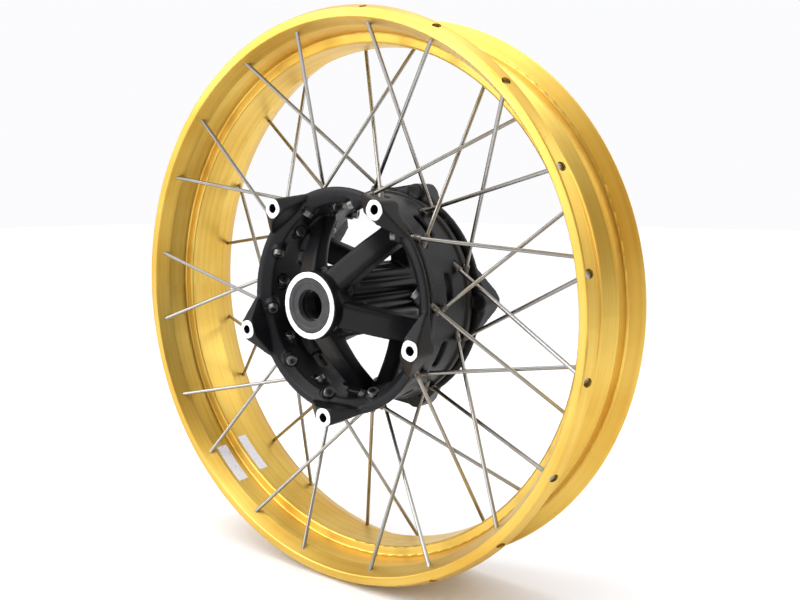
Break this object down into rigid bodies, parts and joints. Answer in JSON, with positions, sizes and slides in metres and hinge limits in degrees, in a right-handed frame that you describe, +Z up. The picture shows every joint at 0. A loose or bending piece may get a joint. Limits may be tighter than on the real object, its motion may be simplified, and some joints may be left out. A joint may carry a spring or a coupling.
{
  "type": "spoked wheel",
  "caption": "Motorcycle front wheel: gold rim laced with crossed straight spokes to a black hub with disc bosses, sealed axle bearings and no tyre.",
  "frame": {"origin": "the wheel's centre, in the middle plane of the rim", "axes": "+Y along the axle towards the wheel's right side, +Z up with the wheel standing, +X horizontal; the left side faces -Y"},
  "size_m": [0.5114, 0.1494, 0.5114],
  "materials": {
    "rim_gold": "satin gold anodised",
    "hub_black": "satin black coating, machined faces bare",
    "spoke_steel": "stainless, drawn",
    "nipple_steel": "plated, slightly stained",
    "bearing_steel": "ground",
    "tube_steel": "turned",
    "seal_rubber": "matte",
    "label_foil": "blank foil label"
  },
  "bodies": {
    "axle_set": {"axle_spacer_tube": "tube_steel", "bearing_left_inner_ring": "bearing_steel", "bearing_right_inner_ring": "bearing_steel"},
    "wheel": {"bearing_left_outer_ring": "bearing_steel", "bearing_left_shields": "bearing_steel", "bearing_right_outer_ring": "bearing_steel", "bearing_right_shields": "bearing_steel", "hub": "hub_black", "nipples_left_spokes": "nipple_steel", "nipples_right_spokes": "nipple_steel", "rim": "rim_gold", "rim_label_middle": "label_foil", "rim_label_outer": "label_foil", "shaft_seal_left": "seal_rubber", "shaft_seal_right": "seal_rubber", "spoke_left_01_inner": "spoke_steel", "spoke_left_01_outer": "spoke_steel", "spoke_left_02_inner": "spoke_steel", "spoke_left_02_outer": "spoke_steel", "spoke_left_03_inner": "spoke_steel", "spoke_left_03_outer": "spoke_steel", "spoke_left_04_inner": "spoke_steel", "spoke_left_04_outer": "spoke_steel", "spoke_left_05_inner": "spoke_steel", "spoke_left_05_outer": "spoke_steel", "spoke_left_06_inner": "spoke_steel", "spoke_left_06_outer": "spoke_steel", "spoke_left_07_inner": "spoke_steel", "spoke_left_07_outer": "spoke_steel", "spoke_left_08_inner": "spoke_steel", "spoke_left_08_outer": "spoke_steel", "spoke_left_09_inner": "spoke_steel", "spoke_left_09_outer": "spoke_steel", "spoke_left_10_inner": "spoke_steel", "spoke_left_10_outer": "spoke_steel", "spoke_right_01_inner": "spoke_steel", "spoke_right_01_outer": "spoke_steel", "spoke_right_02_inner": "spoke_steel", "spoke_right_02_outer": "spoke_steel", "spoke_right_03_inner": "spoke_steel", "spoke_right_03_outer": "spoke_steel", "spoke_right_04_inner": "spoke_steel", "spoke_right_04_outer": "spoke_steel", "spoke_right_05_inner": "spoke_steel", "spoke_right_05_outer": "spoke_steel", "spoke_right_06_inner": "spoke_steel", "spoke_right_06_outer": "spoke_steel", "spoke_right_07_inner": "spoke_steel", "spoke_right_07_outer": "spoke_steel", "spoke_right_08_inner": "spoke_steel", "spoke_right_08_outer": "spoke_steel", "spoke_right_09_inner": "spoke_steel", "spoke_right_09_outer": "spoke_steel", "spoke_right_10_inner": "spoke_steel", "spoke_right_10_outer": "spoke_steel"},
    "left_ball_set": {"bearing_left_balls": "bearing_steel", "bearing_left_cage": "bearing_steel"},
    "right_ball_set": {"bearing_right_balls": "bearing_steel", "bearing_right_cage": "bearing_steel"}
  },
  "joints": [
    {"name": "wheel_spin", "type": "hinge", "parent": "axle_set", "child": "wheel", "pos_m": [0, 0, 0], "axis": [0, 1, 0], "continuous": true},
    {"name": "left_ball_roll", "type": "hinge", "parent": "axle_set", "child": "left_ball_set", "pos_m": [0, -0.06, 0], "axis": [0, 1, 0], "continuous": true},
    {"name": "right_ball_roll", "type": "hinge", "parent": "axle_set", "child": "right_ball_set", "pos_m": [0, 0.06, 0], "axis": [0, 1, 0], "continuous": true}
  ],
  "couplings": [
    {"joint": "left_ball_roll", "follows": "wheel_spin", "ratio": 0.588},
    {"joint": "right_ball_roll", "follows": "wheel_spin", "ratio": 0.588}
  ]
}
